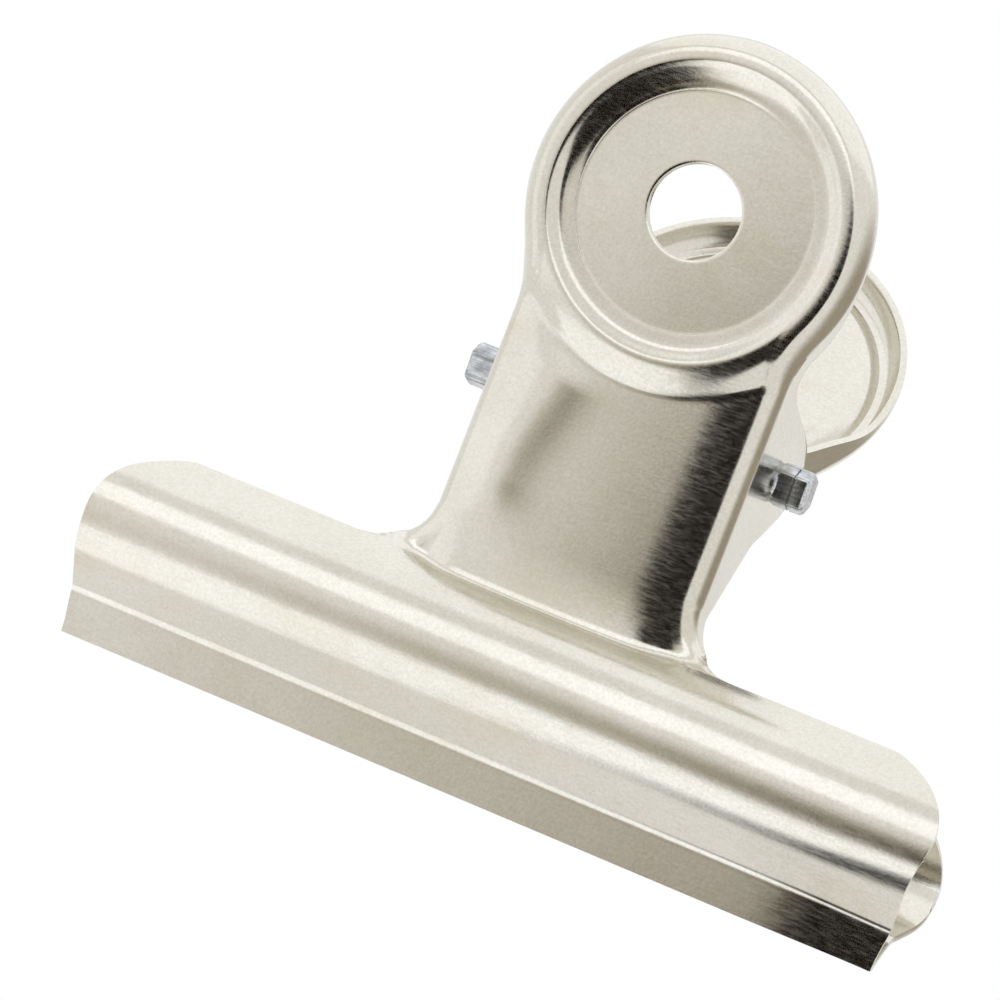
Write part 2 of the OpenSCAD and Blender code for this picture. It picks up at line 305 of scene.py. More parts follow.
def side_line(half_w, r):
    """Start of the edge's bend at radius r from the handle's middle: its swing from straight down, its
    place, the direction outwards and the bend's width. The width grows from the stem's to the rim's."""
    edge = half_w - bend_r
    centre = Vector((half_w + fillet_r, handle_up - sqrt((disc_r + fillet_r) ** 2 - (half_w + fillet_r) ** 2)))
    end = atan2(handle_up - centre.y, -centre.x)
    if r >= hypot(edge, handle_up - centre.y):
        return asin(edge / r), Vector((edge, handle_up - sqrt(r * r - edge * edge))), Vector((1, 0)), bend_r
    low, high = end, pi
    for _ in range(40):
        a = (low + high) / 2
        width = bend_r + (disc_r - crest_r - bend_r) * (pi - a) / (pi - end)
        point = centre + (fillet_r + width) * Vector((cos(a), sin(a)))
        if hypot(point.x, handle_up - point.y) < r:
            low = a
        else:
            high = a
    return atan2(point.x, handle_up - point.y), point, Vector((-cos(a), -sin(a))), width


def web_fillet(x, half_w):
    """Fillet between roll and stem at x: height of the web there, radius, and its end up the stem."""
    edge = half_w - bend_r
    share = min(1, max(0, (abs(x) - edge) / (shoulder_r + bend_r)))
    slope = 2 * crown * edge + 2 * side_crown * (edge - side_from)
    out = -sag(min(abs(x), edge)) * (1 - smooth(share)) - slope * (shoulder_r + bend_r) * share * (1 - share) ** 2
    r = 0.12 + 0.75 * (1 - smooth((share - 0.35) / 0.55))
    base = crease + (out + r) * stem_out - roll_middle
    rise = -base.dot(stem_up) + sqrt(base.dot(stem_up) ** 2 - base.length_squared + (roll_r + r) ** 2)
    return out, r, rise


def web_height(x, up, half_w):
    """Height of the web over the stem's flat, with its fillet to the roll."""
    out, r, rise = web_fillet(x, half_w)
    return out + r - sqrt(r * r - min(0.95 * r, max(0, rise - up)) ** 2)


def foot_height(up):
    """The panel sweeps out a little over its last few millimetres above the crease."""
    return foot_rise * max(0, 1 - up / foot_up) ** 2


def rounded_fold(before, corner, after, r, steps):
    """Points of an arc of radius r in place of the corner."""
    a, b = (before - corner).normalized(), (after - corner).normalized()
    half = acos(max(-1, min(1, a.dot(b)))) / 2
    middle = corner + (a + b).normalized() * r / sin(half)
    start, end = corner + a * r / tan(half) - middle, corner + b * r / tan(half) - middle
    return [middle + (start * (1 - t) + end * t).normalized() * r for t in spread(0, 1, steps)]


roll_foot = roll_middle + roll_r * Vector((cos(foot_angle), sin(foot_angle)))
lip_fold = rounded_fold(lip_foot, lip_top, roll_foot, fold_r, 8)
lip_shares, facet_shares = (0, 0.03, 0.3, 0.6, 0.84), (0.17, 0.5, 0.95)
lip_points = len(lip_shares) + len(lip_fold) + len(facet_shares)
roll_steps = 44


def jaw_column(x, edge_up, half_w, lip_start):
    """Side view of the jaw at x, from the lip's foot to its top edge: [depth, height] points."""
    points = [lip_start.lerp(lip_top, t) for t in lip_shares] + lip_fold
    points += [lip_top.lerp(roll_foot, t) for t in facet_shares]
    out, r, rise = web_fillet(x, half_w)
    turn = crease + (out + r) * stem_out + rise * stem_up - roll_middle
    leave = atan2(turn.y, turn.x)
    points += [roll_middle + roll_r * Vector((cos(a), sin(a))) for a in spread(foot_angle, leave, roll_steps)]
    full = acos(turn.dot(stem_out) / turn.length)
    last = asin(min(0.95, max(0, rise - edge_up) / r))
    for a in spread(full, last, 12)[1:]:
        points.append(crease + (out + r - r * cos(a)) * stem_out + (rise - r * sin(a)) * stem_up)
    base = points[-1]
    points += [base + stem_up * max(0, edge_up - rise) * t for t in spread(0, 1, 10)[1:]]
    sweep_start = lip_points + roll_steps - 4
    for i in range(sweep_start, len(points)):
        up = (points[i] - crease).dot(stem_up)
        share = smooth((i - sweep_start) / 16) * (1 - smooth((abs(x) - half_w + 4) / 4))
        points[i] += stem_out * foot_height(max(0, up)) * share
    return points


def plate_surface(half_w, lip_start):
    """Grids of points [x, depth, height] that meet edge to edge. Each point comes with the place of the
    plain sheet under it, which the inner face is offset from."""
    edge = half_w - bend_r
    grids = []
    grid = grids.append

    def faced(x, up):
        return in_stem(x, up, face_height(x, up, False)), in_stem(x, up, face_height(x, up, True))

    shares = mirror_columns([1 - (1 - t) ** 1.15 for t in spread(0, 1, 30)])
    shares = [max(-1, min(1, s)) for s in shares]
    shoulder_x, shoulder_up = half_w + shoulder_r, shoulder_r

    # Jaw under the panel, from the lip to the shoulders' level
    def column(x, top):
        return [(Vector((x, p.x, p.y)),) * 2 for p in jaw_column(x, top, half_w, lip_start)]

    grid([column(edge * s, shoulder_up) for s in shares])

    # Panel, up to an arc round the handle
    panel_steps = spread(0, 0.55, 22) + spread(0.55, 1, 26)[1:]
    swing, corner, _, _ = side_line(half_w, panel_top_r)
    rows = []
    for t in panel_steps:
        row = []
        for s in shares:
            a = s * swing
            low = Vector((edge * s, shoulder_up))
            high = Vector((panel_top_r * sin(a), handle_up - panel_top_r * cos(a)))
            p = low.lerp(high, t)
            row.append(faced(p.x, p.y))
        rows.append(row)
    grid(rows)

    # Neck, between that arc and the handle's crest
    neck_r = (spread(panel_top_r, 16.4, 20) + spread(16.4, 15.9, 5)[1:] + spread(15.9, 15.3, 10)[1:]
              + spread(15.3, 13.0, 16)[1:] + spread(13.0, crest_r, 3)[1:])
    rows, sides = [], []
    for r in neck_r:
        swing, point, outward, width = side_line(half_w, r)
        rows.append([faced(r * sin(s * swing), handle_up - r * cos(s * swing)) for s in shares])
        sides.append((point, outward, width))
    grid(rows)

    # Round handle, from the crest to the hole
    last = swing
    around = [s * last for s in shares] + spread(last, 2 * pi - last, 150)[1:-1] + [-last]
    around[-1] = 2 * pi - last
    dish_r = (spread(crest_r, 11.2, 12) + [10.9, 10.6, 10.3, 10.22] + spread(10.2, 10.06, 6) + [9.8, 8.5, 6.5, 5, 4.4]
              + spread(4.3, 4.0, 4))
    grid([[faced(r * sin(a), handle_up - r * cos(a)) for a in around] for r in dish_r])

    # Edge of the stem, neck and handle: bend, then flange, ear or rim
    bend_steps, wall_steps = 12, 16

    def folded(point, outward, width, side, depth):
        """One line of the edge, from the face over its bend and down to its free edge."""
        eps = 0.02
        inside = point - outward * eps
        out = face_height(point.x, point.y, True)
        slope = (out - face_height(inside.x, inside.y, True)) / eps
        tilt = min(atan2(-slope, 1), radians(15))
        radius = width / (1 - sin(tilt))
        rim_share = smooth((width - bend_r) / (rim_w - bend_r))
        line = []
        for k, a in enumerate(spread(tilt, pi / 2, bend_steps)):
            across = radius * (sin(a) - sin(tilt)) * (1 - rim_share) + rim_turn[k][0] * rim_share
            drop = radius * (cos(tilt) - cos(a)) * (1 - rim_share) + rim_drop[k] * rim_share
            p = point + outward * across
            line.append(in_stem(side * p.x, p.y, out - drop))
        bottom = out - drop
        tip = -max(depth, -bottom + 0.05)
        p = point + outward * width
        for t in spread(0, 1, wall_steps)[1:]:
            line.append(in_stem(side * p.x, p.y, bottom + (tip - bottom) * t))
        return [(p, p) for p in line]

    def eased(strip, reach):
        """Evens out a fold along its length, more towards its free edge."""
        spots = numpy.array([[tuple(p) for p, _ in row] for row in strip])
        steps = numpy.linalg.norm(numpy.diff(spots[:, bend_steps], axis=0), axis=1)
        along = numpy.concatenate([[0], numpy.cumsum(steps)])
        share = numpy.gradient(along)
        to_end = numpy.minimum(along, along[-1] - along)
        even = spots.copy()
        for c in range(1, spots.shape[1]):
            width = numpy.maximum(numpy.minimum(reach * min(1, c / 9), to_end / 2.5), 0.001)[:, None]
            pull = numpy.exp(-((along[None, :] - along[:, None]) / width) ** 2 / 2) * share[None, :]
            even[:, c] = (pull / pull.sum(axis=1)[:, None]) @ spots[:, c]
        even[0], even[-1] = spots[0], spots[-1]
        return [[(Vector(p), Vector(p)) for p in row] for row in even]

    for side in (-1, 1):
        strip = []
        for t in panel_steps:
            u = shoulder_up + (corner.y - shoulder_up) * t
            strip.append(folded(Vector((edge, u)), Vector((1, 0)), bend_r, side, free_edge_at(u)))
        for point, outward, width in sides[1:]:
            tip_up = point.y + outward.y * width
            strip.append(folded(point, outward, width, side, free_edge_at(tip_up)))
        turns = spread(last, pi, 75)[1:]
        for a in turns:
            outward = Vector((sin(a), -cos(a)))
            depth = rim_depth + (free_edge[-1][1] - rim_depth) * (1 - smooth((a - last) / radians(26)))
            strip.append(folded(outward * crest_r + Vector((0, handle_up)), outward, rim_w, side, depth))
        grid(eased(strip, 1.0))

        # Shoulder: the flange runs out into the jaw's top edge round an arc. Points closer than merged are one.
        merged = 0.06
        columns, strip = [], []
        for i, t in enumerate(spread(0, 1, 30)):
            b = pi / 2 * (1 - t)
            turn = pi / 2 * smooth((b - radians(10)) / radians(42))
            far = shoulder_r + bend_r * sin(turn)
            columns.append([(Vector((side * p.x, p.y, p.z)),) * 2 for p, _ in
                            column(shoulder_x - far * sin(b), shoulder_up - far * cos(b))])
            if i == 0:
                strip.append(folded(Vector((edge, shoulder_up)), Vector((1, 0)), bend_r, side,
                                    free_edge_at(shoulder_up)))
                continue
            wall = free_edge_at(shoulder_up) - bend_r - sag(edge)
            wall *= smooth((b - radians(22)) / radians(68))
            line = []
            for a in spread(0, turn, bend_steps):
                d = far - bend_r * sin(a)
                x, u = shoulder_x - d * sin(b), shoulder_up - d * cos(b)
                line.append((x, u, web_height(x, u, half_w) - bend_r * (1 - cos(a))))
            x, u, h = line[-1]
            for k in spread(0, 1, wall_steps)[1:]:
                line.append((x + sin(b) * cos(turn) * wall * k, u + cos(b) * cos(turn) * wall * k,
                             h - sin(turn) * wall * k))
            line = [in_stem(side * x, u, h) for x, u, h in line]
            line[0] = columns[-1][-1][0]
            for k in range(1, len(line)):
                if (line[k] - line[k - 1]).length < merged:
                    line[k] = line[k - 1]
            strip.append([(p, p) for p in line])
        grid(columns)
        grid(strip)

        # Wing of the jaw, with its rounded upper corner
        inner = [Vector((side * q[0].x, q[0].y, q[0].z)) for q in columns[-1]]
        roll_end = inner[lip_points + roll_steps]
        leave = atan2(roll_end.z - roll_middle.y, roll_end.y - roll_middle.x)
        columns = []
        corner_x = jaw_half - corner_r
        xs = spread(shoulder_x, shoulder_x + 7, 16) + spread(shoulder_x + 7, corner_x, 4)[1:]
        xs += [corner_x + corner_r * sin(a) for a in spread(0, pi / 2, 22)[1:]]
        count = len(inner)
        for x in xs:
            top = crease.y
            if x > corner_x:
                lift = crease.y + corner_rise - corner_r
                top = min(crease.y, lift + sqrt(max(0, corner_r ** 2 - (x - corner_x) ** 2)))
            stop = asin(max(-1, min(1, (top - roll_middle.y) / roll_r)))
            lip = [Vector((x, p.y, p.z)) for p in inner[:lip_points]]
            turn_at = foot_angle + (stop - foot_angle) * min(0.85, (leave - foot_angle) / (top_angle - foot_angle))
            arc = [roll_middle + roll_r * Vector((cos(a), sin(a)))
                   for a in spread(foot_angle, turn_at, roll_steps)
                   + spread(turn_at, stop, count - lip_points - roll_steps - 1)[1:]]
            pure = lip + [Vector((x, p.x, p.y)) for p in arc]
            share = smooth((x - shoulder_x) / 7)
            col = list(pure[:lip_points])
            for a, b in zip(inner[lip_points:], pure[lip_points:]):
                a, b = Vector((a.y, a.z)) - roll_middle, Vector((b.y, b.z)) - roll_middle
                at = atan2(a.y, a.x) * (1 - share) + atan2(b.y, b.x) * share
                far = a.length * (1 - share) + b.length * share
                col.append(Vector((x, roll_middle.x + far * cos(at), roll_middle.y + far * sin(at))))
            columns.append([(Vector((side * p.x, p.y, p.z)),) * 2 for p in col])
        grid(columns)
    return grids


# No jaw comes off the press quite true. The wings spring back from the roll, by wing_lift at their top edge,
# three ends are cropped askew, and the right end of both lips is bent to the back and a little up.
wing_lift, lift_from = {-1: 0.5, 1: 0.3}, radians(36)
crop_from, crop_over = 22, 16
lip_curl, curl_from, curl_over, lip_raise = 0.55, 26, 7, 0.2

# Shift of each cropped end along the jaw, by [plate, side]: [height, shift]
askew_ends = {(-1, -1): curve_through([(0, 0), (3.6, 0.5), (9, 0.6), (16.5, 0.6)]),
              (-1, 1): curve_through([(0, -1.1), (3.6, -0.7), (6, -0.25), (9, 0.5), (12, 0.85), (14.5, 0.6),
                                      (16.5, 0.3)]),
              (1, 1): curve_through([(0, -1.3), (3.6, -1.0), (5.5, -0.5), (8, 0), (16.5, 0)])}


def as_pressed(p, facing):
    """Where a point of the true plate lies on this one."""
    side, reach = (1 if p.x > 0 else -1), abs(p.x)
    spot = Vector((facing * p.y, p.z)) - roll_middle
    at = min(top_angle, atan2(spot.y, spot.x)) if spot.y > 0 else 0
    lift = wing_lift[side] * max(0, (at - lift_from) / (top_angle - lift_from)) ** 2
    lift *= smooth((reach - 9) / 6) * (1 - smooth((p.z - 17.5) / 6))
    moved = p + lift * Vector((0, facing * cos(at), sin(at)))
    if reach < crop_from or p.z > 18:
        return moved
    share = smooth((reach - crop_from) / crop_over)
    if (facing, side) in askew_ends:
        moved.x += side * askew_ends[facing, side](p.z) * share
    if side > 0:
        bent = min(1, max(0, (reach - curl_from) / curl_over))
        straight = max(0, (reach - curl_from - curl_over) / curl_over)
        moved.y += lip_curl * (bent ** 3 - bent ** 4 / 2 + straight) * (1 - smooth((p.z - lip_top.y) / 5))
        moved.z += lip_raise * share * share * max(0, 1 - p.z / 4)
    return moved


def stamped(name, half_w, facing):
    """A plate as one closed sheet. facing is -1 for the front plate and 1 for the back one."""
    lip_start = lip_foot if facing < 0 else lip_foot.lerp(lip_top, back_lip_trim)
    bm = bmesh.new()
    plain = bm.verts.layers.float_vector.new("plain")
    for rows in plate_surface(half_w, lip_start):
        made = []
        for row in rows:
            line = []
            for worn, under in row:
                v = bm.verts.new((under.x, facing * under.y, under.z))
                v[plain] = (worn.x, facing * worn.y, worn.z)
                line.append(v)
            made.append(line)
        for a, b in zip(made, made[1:]):
            for i in range(len(a) - 1):
                bm.faces.new((a[i], a[i + 1], b[i + 1], b[i]))

    # Welded where the grids meet
    bmesh.ops.remove_doubles(bm, verts=bm.verts, dist=0.004)
    bmesh.ops.dissolve_degenerate(bm, edges=bm.edges, dist=0.0005)
    bmesh.ops.recalc_face_normals(bm, faces=bm.faces)
    bm.normal_update()

    # The handle's flat shows which way the normals point. They have to point out of the clip.
    flat = in_stem(7, handle_up, 0)
    flat.y *= facing
    mark = min(bm.faces, key=lambda f: (f.calc_center_median() - flat).length)
    if mark.normal.y * facing < 0:
        bmesh.ops.reverse_faces(bm, faces=bm.faces)
        bm.normal_update()
    for v in bm.verts:
        v.co = as_pressed(v.co, facing)
        v[plain] = as_pressed(Vector(v[plain]), facing)
    bm.normal_update()
    bm.verts.index_update()

    # The inner skin lies one sheet's thickness behind the plain face
    inner = [v.co - sheet * v.normal for v in bm.verts]
    outer = [Vector(v[plain]) for v in bm.verts]
    faces = [[v.index for v in f.verts] for f in bm.faces]
    rim = [(e.link_loops[0].vert.index, e.link_loops[0].link_loop_next.vert.index)
           for e in bm.edges if e.is_boundary]
    bm.free()
    n = len(outer)
    faces += [[n + i for i in reversed(f)] for f in faces]
    faces += [[b, a, n + a, n + b] for a, b in rim]
    mesh = bpy.data.meshes.new(name)
    mesh.from_pydata([MM * p for p in outer + inner], [], faces)
    mesh.update()
    plate = bpy.data.objects.new(name, mesh)
    scene.collection.objects.link(plate)
    return plate


def finish_edges(piece, width):
    """Breaks the sharp edges and shades the rest smoothly."""
    bevel = piece.modifiers.new("broken_edges", "BEVEL")
    bevel.width, bevel.segments, bevel.limit_method, bevel.angle_limit = width * MM, 2, "ANGLE", radians(50)
    bevel.miter_outer = "MITER_ARC"
    graph = bpy.context.evaluated_depsgraph_get()
    done = bpy.data.meshes.new_from_object(piece.evaluated_get(graph))
    piece.modifiers.clear()
    piece.data = done
    done.shade_smooth()
    done.set_sharp_from_angle(angle=radians(40))


# A pattern's scale is metre over its size in millimetres
metre = 1000


def nickel_plating(name, low, high, tarnish):
    """Nickel plating from a dull bath over rolled strip. It mirrors softly in a warm pale grey, with a fine
    frost, the strip's rolling grain, cloudy patches and a trace of yellow tarnish. The frost and the grain are
    drawn 0.28 and 0.22 mm wide, several times their real size, so that they show."""
    metal = bpy.data.materials.new(name)
    metal.use_nodes = True
    t = metal.node_tree
    t.nodes.clear()
    place = add_node(t, "ShaderNodeTexCoord")
    grain_map = add_node(t, "ShaderNodeMapping", {"Scale": (metre / 1.6, metre / 0.22, metre / 0.22)},
                         {"Vector": place.outputs["Object"]})
    grain = add_node(t, "ShaderNodeTexNoise", {"Scale": 1, "Detail": 3, "Roughness": 0.65},
                     {"Vector": grain_map.outputs[0]})
    frost = add_node(t, "ShaderNodeTexNoise", {"Scale": metre / 0.28, "Detail": 2, "Roughness": 0.6},
                     {"Vector": place.outputs["Object"]})
    cloud = add_node(t, "ShaderNodeTexNoise", {"Scale": metre / 14, "Detail": 5, "Roughness": 0.6},
                     {"Vector": place.outputs["Object"]})
    mottled = add_node(t, "ShaderNodeMath", {"operation": "ADD"}, {0: cloud.outputs["Fac"], 1: frost.outputs["Fac"]})
    shade = add_node(t, "ShaderNodeMapRange", {"From Min": 0.75, "From Max": 1.25}, {"Value": mottled.outputs[0]})
    grey = add_node(t, "ShaderNodeMix", {"data_type": "RGBA", 6: srgb(low), 7: srgb(high)}, {0: shade.outputs[0]})
    stain_map = add_node(t, "ShaderNodeMapping", {"Location": (0.3, 0.1, 0.2), "Scale": (0.5, 1, 1)},
                         {"Vector": place.outputs["Object"]})
    stain = add_node(t, "ShaderNodeTexNoise", {"Scale": metre / 8, "Detail": 6, "Roughness": 0.7},
                     {"Vector": stain_map.outputs[0]})
    stained = add_node(t, "ShaderNodeMapRange", {"From Min": 0.55, "From Max": 0.75, "To Max": 0.35},
                       {"Value": stain.outputs["Fac"]})
    colour = add_node(t, "ShaderNodeMix", {"data_type": "RGBA", 7: srgb(tarnish)},
                      {0: stained.outputs[0], 6: grey.outputs[2]})
    rough = add_node(t, "ShaderNodeMapRange", {"From Min": 0.35, "From Max": 0.65, "To Min": 0.13, "To Max": 0.22},
                     {"Value": grain.outputs["Fac"]})
    texture = add_node(t, "ShaderNodeMath", {"operation": "ADD"}, {0: grain.outputs["Fac"], 1: frost.outputs["Fac"]})
    bump = add_node(t, "ShaderNodeBump", {"Strength": 0.15, "Distance": 0.02 * MM}, {"Height": texture.outputs[0]})
    shader = add_node(t, "ShaderNodeBsdfPrincipled", {"Metallic": 1.0},
                      {"Base Color": colour.outputs[2], "Roughness": rough.outputs[0], "Normal": bump.outputs[0]})
    add_node(t, "ShaderNodeOutputMaterial", {}, {"Surface": shader.outputs[0]})
    return metal


broken_edge = 0.1
nickel = "#cdc9bb", "#dcd8ce", "#c8bb98"
front = stamped("front_plate_plated", front_half, -1)
finish_edges(front, broken_edge)
front.data.materials.clear()
front.data.materials.append(nickel_plating("satin_nickel_front", *nickel))
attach(front, "front")
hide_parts("front_plate")

back = stamped("back_plate_plated", back_half, 1)
finish_edges(back, broken_edge)
back.data.materials.clear()
back.data.materials.append(nickel_plating("satin_nickel_back", *nickel))
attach(back, "back")
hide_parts("back_plate")

# Hinge pin. A length of bright-drawn steel wire through the four ears. Both ends are cropped and pinched to
# six sides so that it can't slide out, the left one a little longer. The right end keeps a shear mark.
pin_z, pin_r = 35.8, 1.75
pin_neck, pin_tips, pin_chamfer = 12.35, {-1: 16.4, 1: 15.3}, 0.3
flat_at, side_at, side_angle = 1.47, 1.786, 24.3
score_x, score_w, score_depth = 13.93, 0.2, 0.17
end_turn = radians(27)
corner_sharpness, ring = 26, 96
cap_inset, cap_hollow = 0.35, 0.06
faces_at = [(90, flat_at), (270, flat_at)]
faces_at += [(k, side_at) for k in (side_angle, 180 - side_angle, 180 + side_angle, -side_angle)]


def pinched(a):
    """Radius of the six-sided section at angle a, with its corners a little rounded."""
    total = 0
    for angle, distance in faces_at:
        total += max(0, cos(a - radians(angle)) / distance) ** corner_sharpness
    return total ** (-1 / corner_sharpness)


# Stations along the pin: [place, share of the six-sided form, depth cut off]
stations = []
for side, pin_tip in pin_tips.items():
    half = [(pin_neck - 0.4, 0, 0), (pin_neck, 0, 0), (pin_neck + 0.06, 0.3, 0), (pin_neck + 0.14, 0.75, 0),
            (pin_neck + 0.25, 1, 0)]
    if side > 0:
        half += [(score_x - score_w / 2, 1, 0), (score_x - score_w / 5, 1, score_depth),
                 (score_x + score_w / 5, 1, score_depth), (score_x + score_w / 2, 1, 0)]
    half += [(pin_tip - pin_chamfer - 0.08, 1, 0), (pin_tip - pin_chamfer, 1, 0.03),
             (pin_tip - pin_chamfer / 2, 1, 0.12), (pin_tip - 0.05, 1, pin_chamfer - 0.06), (pin_tip, 1, pin_chamfer)]
    stations += [(side * x, share, cut) for x, share, cut in (half if side > 0 else reversed(half))]
stations.sort()
bm = bmesh.new()
loops = []
for x, share, cut in stations:
    loop = []
    for i in range(ring):
        a = 2 * pi * i / ring
        r = pin_r + (pinched(a) - pin_r) * share - cut
        across, down = r * cos(a), r * sin(a)
        y = across * sin(end_turn) + down * cos(end_turn)
        z = pin_z - (across * cos(end_turn) - down * sin(end_turn))
        loop.append(bm.verts.new(MM * Vector((x, y, z))))
    loops.append(loop)
for a, b in zip(loops, loops[1:]):
    for i in range(ring):
        j = (i + 1) % ring
        bm.faces.new((a[i], a[j], b[j], b[i]))
for loop, side in ((loops[0], -1), (loops[-1], 1)):
    x = side * pin_tips[side]
    inset = [bm.verts.new(v.co.lerp(MM * Vector((x, 0, pin_z)), cap_inset)) for v in loop]
    centre = bm.verts.new(MM * Vector((x - side * cap_hollow, 0, pin_z)))
    for i in range(ring):
        j = (i + 1) % ring
        bm.faces.new((loop[i], loop[j], inset[j], inset[i]))
        bm.faces.new((inset[i], inset[j], centre))
bmesh.ops.recalc_face_normals(bm, faces=bm.faces)
mesh = bpy.data.meshes.new("hinge_pin_cropped")
bm.to_mesh(mesh)
bm.free()
mesh.shade_smooth()
mesh.set_sharp_from_angle(angle=radians(35))
pin = bpy.data.objects.new("hinge_pin_cropped", mesh)
scene.collection.objects.link(pin)

# Bright-drawn mild steel, bare: a neutral grey, cooler than the plating, with fine lines along its length
# from the drawing die and smudges from the pinching jaws. The lines are drawn 0.18 mm wide, so that they show.
drawn = bpy.data.materials.new("bright_drawn_steel")
drawn.use_nodes = True
t = drawn.node_tree
t.nodes.clear()
place = add_node(t, "ShaderNodeTexCoord")
line_map = add_node(t, "ShaderNodeMapping", {"Scale": (metre / 3, metre / 0.18, metre / 0.18)},
                    {"Vector": place.outputs["Object"]})
lines = add_node(t, "ShaderNodeTexNoise", {"Scale": 1, "Detail": 3, "Roughness": 0.6},
                 {"Vector": line_map.outputs[0]})
smudge = add_node(t, "ShaderNodeTexNoise", {"Scale": metre / 1.3, "Detail": 4, "Roughness": 0.65},
                  {"Vector": place.outputs["Object"]})
worn = add_node(t, "ShaderNodeMath", {"operation": "MULTIPLY"}, {0: smudge.outputs["Fac"], 1: lines.outputs["Fac"]})
shade = add_node(t, "ShaderNodeMapRange", {"From Min": 0.15, "From Max": 0.36}, {"Value": worn.outputs[0]})
colour = add_node(t, "ShaderNodeMix", {"data_type": "RGBA", 6: srgb("#8f9193"), 7: srgb("#d3d5d6")},
                  {0: shade.outputs[0]})
rough = add_node(t, "ShaderNodeMapRange", {"From Min": 0.3, "From Max": 0.7, "To Min": 0.38, "To Max": 0.2},
                 {"Value": smudge.outputs["Fac"]})
bump = add_node(t, "ShaderNodeBump", {"Strength": 0.35, "Distance": 0.03 * MM}, {"Height": lines.outputs["Fac"]})
shader = add_node(t, "ShaderNodeBsdfPrincipled", {"Metallic": 1.0},
                  {"Base Color": colour.outputs[2], "Roughness": rough.outputs[0], "Normal": bump.outputs[0]})
add_node(t, "ShaderNodeOutputMaterial", {}, {"Surface": shader.outputs[0]})
mesh.materials.append(drawn)
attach(pin, "front")
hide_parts("hinge_pin")

# Torsion spring. Hard-drawn wire of 1.4 mm, coiled round the pin between the ears, with one leg behind each handle.
wire_r, coil_turns, coil_pitch, leg_play = 0.7, 6, 2.1, 0.15
coil_r = pin_r + 0.4 + wire_r
leg_up = 27
leg_side = crease + leg_up * stem_up - (sheet + wire_r + leg_play) * stem_out
leg_tip = leg_side - Vector((0, pin_z))
leg_swing = asin(coil_r / leg_tip.length)
leg_angle = atan2(leg_tip.y, leg_tip.x) + leg_swing
leg_l = sqrt(leg_tip.length_squared - coil_r ** 2)
coil_turn = radians(360 * (coil_turns + 1)) + 2 * leg_angle - 2 * pi
coil_middle = radians(90 + 180 * (coil_turns + 1))
coil_half = coil_pitch * coil_turn / (4 * pi)
coil_l = hypot(coil_r * coil_turn, 2 * coil_half)

winding = bpy.data.node_groups.new("wound_wire", "GeometryNodeTree")
winding.interface.new_socket("Geometry", in_out="OUTPUT", socket_type="NodeSocketGeometry")
knobs = {}
for label, value in (("Wire Radius", wire_r * MM), ("Coil Radius", coil_r * MM),
                     ("Coil Half Width", coil_half * MM), ("Coil Length", coil_l * MM), ("Coil Turn", coil_turn),
                     ("Middle Angle", coil_middle), ("Leg Length", leg_l * MM), ("Leg Angle", leg_angle),
                     ("Pin Height", pin_z * MM)):
    socket = winding.interface.new_socket(label, in_out="INPUT", socket_type="NodeSocketFloat")
    knobs[socket.identifier] = value
material_socket = winding.interface.new_socket("Wire Finish", in_out="INPUT", socket_type="NodeSocketMaterial")
given = winding.nodes.new("NodeGroupInput")
line = add_node(winding, "GeometryNodeCurvePrimitiveLine", {"End": (0, 0, 1)})
fine = add_node(winding, "GeometryNodeResampleCurve", {"Count": 520}, {"Curve": line.outputs[0]})

# The wire's path, from leg tip to leg tip, worked out step by step: [result, operation, first, second].
# Walk is the place along the wire from its middle, and past is how much of that lies beyond the coil.
known = {socket.name: socket for socket in given.outputs}
known["along"] = add_node(winding, "GeometryNodeSplineParameter").outputs["Factor"]
for result, operation, *operands in (
        ("half coil", "MULTIPLY", "Coil Length", 0.5), ("half wire", "ADD", "half coil", "Leg Length"),
        ("twice", "MULTIPLY", "along", 2), ("centred", "SUBTRACT", "twice", 1),
        ("walk", "MULTIPLY", "centred", "half wire"), ("coil start", "MULTIPLY", "half coil", -1),
        ("walk to coil end", "MINIMUM", "walk", "half coil"), ("in coil", "MAXIMUM", "walk to coil end", "coil start"),
        ("past", "SUBTRACT", "walk", "in coil"), ("share", "DIVIDE", "in coil", "half coil"),
        ("half turn", "MULTIPLY", "Coil Turn", 0.5), ("turned", "MULTIPLY", "share", "half turn"),
        ("angle", "ADD", "Middle Angle", "turned"), ("x", "MULTIPLY", "share", "Coil Half Width"),
        ("coil cosine", "COSINE", "angle"), ("coil sine", "SINE", "angle"),
        ("leg cosine", "COSINE", "Leg Angle"), ("leg sine", "SINE", "Leg Angle"),
        ("coil y", "MULTIPLY", "Coil Radius", "coil cosine"), ("coil z", "MULTIPLY", "Coil Radius", "coil sine"),
        ("leg y", "MULTIPLY", "past", "leg cosine"), ("reach", "ABSOLUTE", "past"),
        ("leg z", "MULTIPLY", "reach", "leg sine"), ("y", "ADD", "coil y", "leg y"),
        ("over pin", "ADD", "coil z", "leg z"), ("z", "ADD", "over pin", "Pin Height")):
    numbers = {slot: value for slot, value in enumerate(operands) if not isinstance(value, str)}
    sources = {slot: known[value] for slot, value in enumerate(operands) if isinstance(value, str)}
    known[result] = add_node(winding, "ShaderNodeMath", {"operation": operation, **numbers}, sources).outputs[0]
spot = add_node(winding, "ShaderNodeCombineXYZ", {}, {"X": known["x"], "Y": known["y"], "Z": known["z"]})
bent = add_node(winding, "GeometryNodeSetPosition", {}, {"Geometry": fine.outputs[0], "Position": spot.outputs[0]})
round_wire = add_node(winding, "GeometryNodeCurvePrimitiveCircle", {"Resolution": 16},
                      {"Radius": known["Wire Radius"]})
drawn_out = add_node(winding, "GeometryNodeCurveToMesh", {"Fill Caps": True},
                     {"Curve": bent.outputs[0], "Profile Curve": round_wire.outputs[0]})
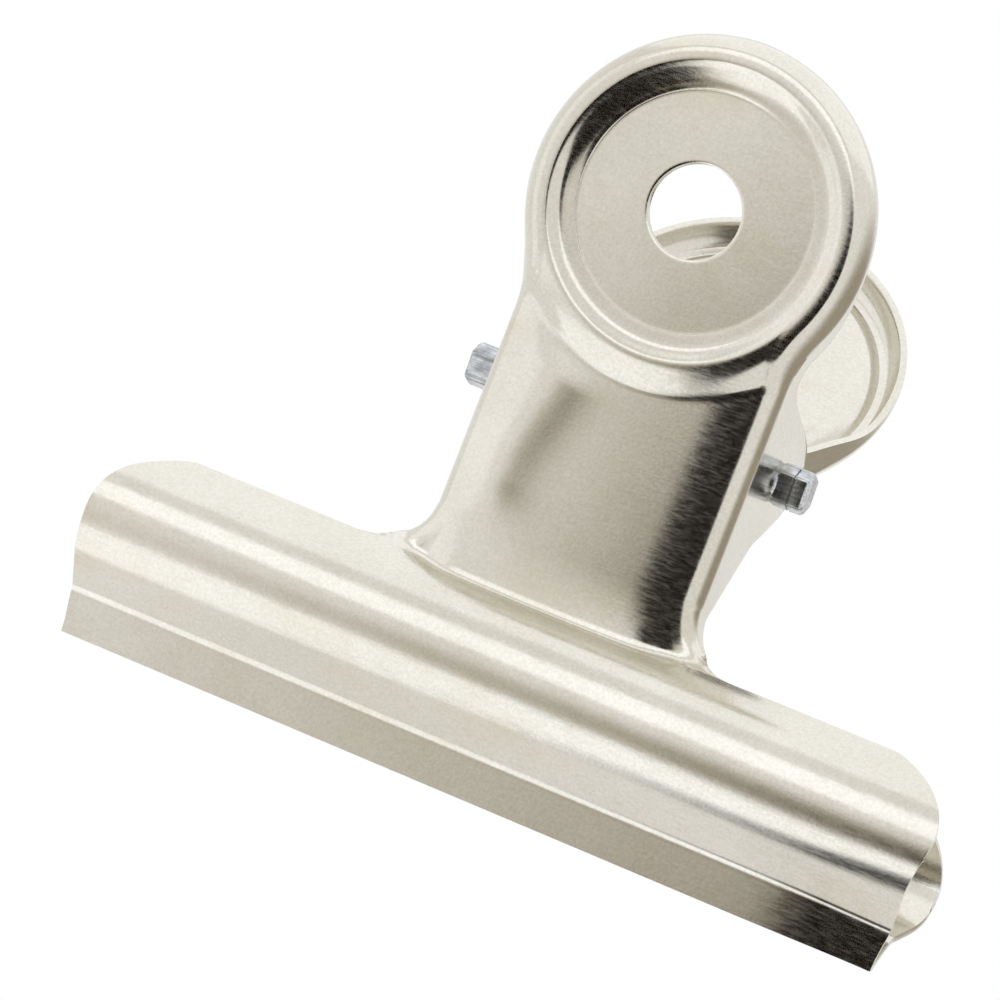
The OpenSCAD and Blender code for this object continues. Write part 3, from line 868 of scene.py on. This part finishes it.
real = add_node(winding, "GeometryNodeRealizeInstances", {}, {"Geometry": drawn_out.outputs[0]})
dressed = add_node(winding, "GeometryNodeSetMaterial", {},
                   {"Geometry": real.outputs[0], "Material": known["Wire Finish"]})
result = winding.nodes.new("NodeGroupOutput")
winding.links.new(dressed.outputs[0], result.inputs[0])

# Hard-drawn carbon spring wire, bare and lightly oiled: darker and duller than the plating, with a faint
# mottle from the drawing soap.
wire_finish = bpy.data.materials.new("hard_drawn_spring_wire")
wire_finish.use_nodes = True
t = wire_finish.node_tree
t.nodes.clear()
place = add_node(t, "ShaderNodeTexCoord")
mottle = add_node(t, "ShaderNodeTexNoise", {"Scale": metre / 0.5, "Detail": 4, "Roughness": 0.6},
                  {"Vector": place.outputs["Object"]})
colour = add_node(t, "ShaderNodeMix", {"data_type": "RGBA", 6: srgb("#a2a3a4"), 7: srgb("#c6c7c8")},
                  {0: mottle.outputs["Fac"]})
rough = add_node(t, "ShaderNodeMapRange", {"From Min": 0.3, "From Max": 0.7, "To Min": 0.24, "To Max": 0.36},
                 {"Value": mottle.outputs["Fac"]})
bump = add_node(t, "ShaderNodeBump", {"Strength": 0.2, "Distance": 0.02 * MM}, {"Height": mottle.outputs["Fac"]})
shader = add_node(t, "ShaderNodeBsdfPrincipled", {"Metallic": 1.0},
                  {"Base Color": colour.outputs[2], "Roughness": rough.outputs[0], "Normal": bump.outputs[0]})
add_node(t, "ShaderNodeOutputMaterial", {}, {"Surface": shader.outputs[0]})

spring = bpy.data.objects.new("torsion_spring_wound", bpy.data.meshes.new("torsion_spring_wound"))
scene.collection.objects.link(spring)
wind = spring.modifiers.new("wound_wire", "NODES")
wind.node_group = winding
for identifier, value in knobs.items():
    wind[identifier] = value
wind[material_socket.identifier] = wire_finish
graph = bpy.context.evaluated_depsgraph_get()
wound = bpy.data.meshes.new_from_object(spring.evaluated_get(graph))
spring.modifiers.clear()
spring.data = wound
wound.shade_smooth()
wound.set_sharp_from_angle(angle=radians(50))
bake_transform(spring)
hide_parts("torsion_spring")
